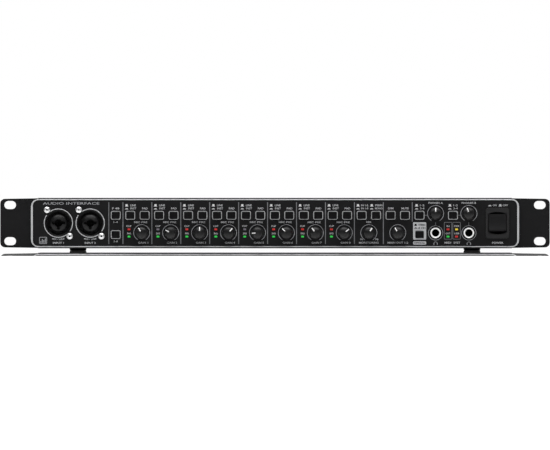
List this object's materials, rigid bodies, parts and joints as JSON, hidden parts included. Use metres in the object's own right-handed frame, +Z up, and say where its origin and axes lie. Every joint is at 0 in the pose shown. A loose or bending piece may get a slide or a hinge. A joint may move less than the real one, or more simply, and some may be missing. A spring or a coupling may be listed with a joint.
{
  "type": "rack-mount audio interface",
  "caption": "Rack-mount audio interface with gain knobs and push buttons along its front, combination input sockets, headphone outputs, a power rocker and a rear connector panel.",
  "frame": {"origin": "centre of the footprint, on the surface the four feet stand on", "axes": "+X to the right as seen from the front, front facing -Y, +Z up"},
  "size_m": [0.4826, 0.2064, 0.0463],
  "materials": {
    "panel_paint": "fine-grained satin black",
    "case_paint": "fine-textured satin black",
    "trim_silver": "satin silver",
    "knob_plastic": "soft satin black",
    "button_plastic": "satin black",
    "switch_plastic": "satin black",
    "socket_plastic": "moulded black",
    "jack_metal": "nickel plated",
    "foot_rubber": "matt",
    "circuit_board": "green solder mask",
    "print_ink": "screen-printed light grey",
    "screw_steel": "nickel plated",
    "pin_gold": "gold flashed",
    "led_red": "lit red lens",
    "led_green": "lit green lens",
    "led_amber": "lit amber lens"
  },
  "bodies": {
    "unit": {"rack_panel": "panel_paint", "fascia": "panel_paint", "trim_frame": "trim_silver", "top_cover": "case_paint", "chassis": "case_paint", "rear_panel": "case_paint", "foot_front_left": "foot_rubber", "foot_front_right": "foot_rubber", "foot_rear_left": "foot_rubber", "foot_rear_right": "foot_rubber", "input_jack_1": "socket_plastic", "input_jack_2": "socket_plastic", "phones_jack_a": "jack_metal", "phones_jack_b": "jack_metal", "rear_input_jacks": "socket_plastic", "rear_output_jacks": "socket_plastic", "digital_ports": "socket_plastic", "mains_inlet": "socket_plastic", "control_board": "circuit_board", "main_board": "circuit_board", "power_supply": "circuit_board", "power_switch_housing": "switch_plastic"},
    "gain_knob_1": {"gain_knob_1": "knob_plastic"},
    "gain_knob_2": {"gain_knob_2": "knob_plastic"},
    "gain_knob_3": {"gain_knob_3": "knob_plastic"},
    "gain_knob_4": {"gain_knob_4": "knob_plastic"},
    "gain_knob_5": {"gain_knob_5": "knob_plastic"},
    "gain_knob_6": {"gain_knob_6": "knob_plastic"},
    "gain_knob_7": {"gain_knob_7": "knob_plastic"},
    "gain_knob_8": {"gain_knob_8": "knob_plastic"},
    "monitor_mix_knob": {"monitor_mix_knob": "knob_plastic"},
    "main_out_knob": {"main_out_knob": "knob_plastic"},
    "phones_a_knob": {"phones_a_knob": "knob_plastic"},
    "phones_b_knob": {"phones_b_knob": "knob_plastic"},
    "phantom_button_1_4": {"phantom_button_1_4": "button_plastic"},
    "phantom_button_5_8": {"phantom_button_5_8": "button_plastic"},
    "line_inst_button_1": {"line_inst_button_1": "button_plastic"},
    "pad_button_1": {"pad_button_1": "button_plastic"},
    "line_inst_button_2": {"line_inst_button_2": "button_plastic"},
    "pad_button_2": {"pad_button_2": "button_plastic"},
    "line_inst_button_3": {"line_inst_button_3": "button_plastic"},
    "pad_button_3": {"pad_button_3": "button_plastic"},
    "line_inst_button_4": {"line_inst_button_4": "button_plastic"},
    "pad_button_4": {"pad_button_4": "button_plastic"},
    "line_inst_button_5": {"line_inst_button_5": "button_plastic"},
    "pad_button_5": {"pad_button_5": "button_plastic"},
    "line_inst_button_6": {"line_inst_button_6": "button_plastic"},
    "pad_button_6": {"pad_button_6": "button_plastic"},
    "line_inst_button_7": {"line_inst_button_7": "button_plastic"},
    "pad_button_7": {"pad_button_7": "button_plastic"},
    "line_inst_button_8": {"line_inst_button_8": "button_plastic"},
    "pad_button_8": {"pad_button_8": "button_plastic"},
    "monitor_source_button": {"monitor_source_button": "button_plastic"},
    "mono_button": {"mono_button": "button_plastic"},
    "dim_button": {"dim_button": "button_plastic"},
    "mute_button": {"mute_button": "button_plastic"},
    "phones_a_source_button": {"phones_a_source_button": "button_plastic"},
    "phones_b_source_button": {"phones_b_source_button": "button_plastic"},
    "optical_mode_button": {"optical_mode_button": "button_plastic"},
    "power_rocker": {"power_rocker": "switch_plastic"}
  },
  "joints": [
    {"name": "gain_knob_1_turn", "type": "hinge", "parent": "unit", "child": "gain_knob_1", "pos_m": [-0.117, -0.09035, 0.01565], "axis": [0, 1, 0], "range_deg": [-115, 185]},
    {"name": "gain_knob_2_turn", "type": "hinge", "parent": "unit", "child": "gain_knob_2", "pos_m": [-0.0916, -0.09035, 0.01565], "axis": [0, 1, 0], "range_deg": [-87, 213]},
    {"name": "gain_knob_3_turn", "type": "hinge", "parent": "unit", "child": "gain_knob_3", "pos_m": [-0.0662, -0.09035, 0.01565], "axis": [0, 1, 0], "range_deg": [-150, 150]},
    {"name": "gain_knob_4_turn", "type": "hinge", "parent": "unit", "child": "gain_knob_4", "pos_m": [-0.0408, -0.09035, 0.01565], "axis": [0, 1, 0], "range_deg": [-190, 110]},
    {"name": "gain_knob_5_turn", "type": "hinge", "parent": "unit", "child": "gain_knob_5", "pos_m": [-0.0154, -0.09035, 0.01565], "axis": [0, 1, 0], "range_deg": [-54, 246]},
    {"name": "gain_knob_6_turn", "type": "hinge", "parent": "unit", "child": "gain_knob_6", "pos_m": [0.01, -0.09035, 0.01565], "axis": [0, 1, 0], "range_deg": [-106, 194]},
    {"name": "gain_knob_7_turn", "type": "hinge", "parent": "unit", "child": "gain_knob_7", "pos_m": [0.0354, -0.09035, 0.01565], "axis": [0, 1, 0], "range_deg": [-114, 186]},
    {"name": "gain_knob_8_turn", "type": "hinge", "parent": "unit", "child": "gain_knob_8", "pos_m": [0.0608, -0.09035, 0.01565], "axis": [0, 1, 0], "range_deg": [-204, 96]},
    {"name": "monitor_mix_knob_turn", "type": "hinge", "parent": "unit", "child": "monitor_mix_knob", "pos_m": [0.0824, -0.09035, 0.01565], "axis": [0, 1, 0], "range_deg": [-184, 116]},
    {"name": "main_out_knob_turn", "type": "hinge", "parent": "unit", "child": "main_out_knob", "pos_m": [0.1078, -0.09035, 0.01565], "axis": [0, 1, 0], "range_deg": [-120, 180]},
    {"name": "phones_a_knob_turn", "type": "hinge", "parent": "unit", "child": "phones_a_knob", "pos_m": [0.141, -0.09035, 0.0325], "axis": [0, 1, 0], "range_deg": [-150, 150]},
    {"name": "phones_b_knob_turn", "type": "hinge", "parent": "unit", "child": "phones_b_knob", "pos_m": [0.1702, -0.09035, 0.0325], "axis": [0, 1, 0], "range_deg": [-133, 167]},
    {"name": "phantom_button_1_4_press", "type": "slide", "parent": "unit", "child": "phantom_button_1_4", "axis": [0, 1, 0], "range_m": [0, 0.0022], "stiffness_N_per_m": 350},
    {"name": "phantom_button_5_8_press", "type": "slide", "parent": "unit", "child": "phantom_button_5_8", "axis": [0, 1, 0], "range_m": [0, 0.0022], "stiffness_N_per_m": 350},
    {"name": "line_inst_button_1_press", "type": "slide", "parent": "unit", "child": "line_inst_button_1", "axis": [0, 1, 0], "range_m": [0, 0.0022], "stiffness_N_per_m": 350},
    {"name": "pad_button_1_press", "type": "slide", "parent": "unit", "child": "pad_button_1", "axis": [0, 1, 0], "range_m": [0, 0.0022], "stiffness_N_per_m": 350},
    {"name": "line_inst_button_2_press", "type": "slide", "parent": "unit", "child": "line_inst_button_2", "axis": [0, 1, 0], "range_m": [0, 0.0022], "stiffness_N_per_m": 350},
    {"name": "pad_button_2_press", "type": "slide", "parent": "unit", "child": "pad_button_2", "axis": [0, 1, 0], "range_m": [0, 0.0022], "stiffness_N_per_m": 350},
    {"name": "line_inst_button_3_press", "type": "slide", "parent": "unit", "child": "line_inst_button_3", "axis": [0, 1, 0], "range_m": [0, 0.0022], "stiffness_N_per_m": 350},
    {"name": "pad_button_3_press", "type": "slide", "parent": "unit", "child": "pad_button_3", "axis": [0, 1, 0], "range_m": [0, 0.0022], "stiffness_N_per_m": 350},
    {"name": "line_inst_button_4_press", "type": "slide", "parent": "unit", "child": "line_inst_button_4", "axis": [0, 1, 0], "range_m": [0, 0.0022], "stiffness_N_per_m": 350},
    {"name": "pad_button_4_press", "type": "slide", "parent": "unit", "child": "pad_button_4", "axis": [0, 1, 0], "range_m": [0, 0.0022], "stiffness_N_per_m": 350},
    {"name": "line_inst_button_5_press", "type": "slide", "parent": "unit", "child": "line_inst_button_5", "axis": [0, 1, 0], "range_m": [0, 0.0022], "stiffness_N_per_m": 350},
    {"name": "pad_button_5_press", "type": "slide", "parent": "unit", "child": "pad_button_5", "axis": [0, 1, 0], "range_m": [0, 0.0022], "stiffness_N_per_m": 350},
    {"name": "line_inst_button_6_press", "type": "slide", "parent": "unit", "child": "line_inst_button_6", "axis": [0, 1, 0], "range_m": [0, 0.0022], "stiffness_N_per_m": 350},
    {"name": "pad_button_6_press", "type": "slide", "parent": "unit", "child": "pad_button_6", "axis": [0, 1, 0], "range_m": [0, 0.0022], "stiffness_N_per_m": 350},
    {"name": "line_inst_button_7_press", "type": "slide", "parent": "unit", "child": "line_inst_button_7", "axis": [0, 1, 0], "range_m": [0, 0.0022], "stiffness_N_per_m": 350},
    {"name": "pad_button_7_press", "type": "slide", "parent": "unit", "child": "pad_button_7", "axis": [0, 1, 0], "range_m": [0, 0.0022], "stiffness_N_per_m": 350},
    {"name": "line_inst_button_8_press", "type": "slide", "parent": "unit", "child": "line_inst_button_8", "axis": [0, 1, 0], "range_m": [0, 0.0022], "stiffness_N_per_m": 350},
    {"name": "pad_button_8_press", "type": "slide", "parent": "unit", "child": "pad_button_8", "axis": [0, 1, 0], "range_m": [0, 0.0022], "stiffness_N_per_m": 350},
    {"name": "monitor_source_button_press", "type": "slide", "parent": "unit", "child": "monitor_source_button", "axis": [0, 1, 0], "range_m": [0, 0.0022], "stiffness_N_per_m": 350},
    {"name": "mono_button_press", "type": "slide", "parent": "unit", "child": "mono_button", "axis": [0, 1, 0], "range_m": [0, 0.0022], "stiffness_N_per_m": 350},
    {"name": "dim_button_press", "type": "slide", "parent": "unit", "child": "dim_button", "axis": [0, 1, 0], "range_m": [0, 0.0022], "stiffness_N_per_m": 350},
    {"name": "mute_button_press", "type": "slide", "parent": "unit", "child": "mute_button", "axis": [0, 1, 0], "range_m": [0, 0.0022], "stiffness_N_per_m": 350},
    {"name": "phones_a_source_button_press", "type": "slide", "parent": "unit", "child": "phones_a_source_button", "axis": [0, 1, 0], "range_m": [0, 0.0022], "stiffness_N_per_m": 350},
    {"name": "phones_b_source_button_press", "type": "slide", "parent": "unit", "child": "phones_b_source_button", "axis": [0, 1, 0], "range_m": [0, 0.0022], "stiffness_N_per_m": 350},
    {"name": "optical_mode_button_press", "type": "slide", "parent": "unit", "child": "optical_mode_button", "axis": [0, 1, 0], "range_m": [0, 0.0022], "stiffness_N_per_m": 350},
    {"name": "power_rocker_tip", "type": "hinge", "parent": "unit", "child": "power_rocker", "pos_m": [0.1953, -0.08715, 0.0241], "axis": [1, 0, 0], "range_deg": [0, 14]}
  ]
}
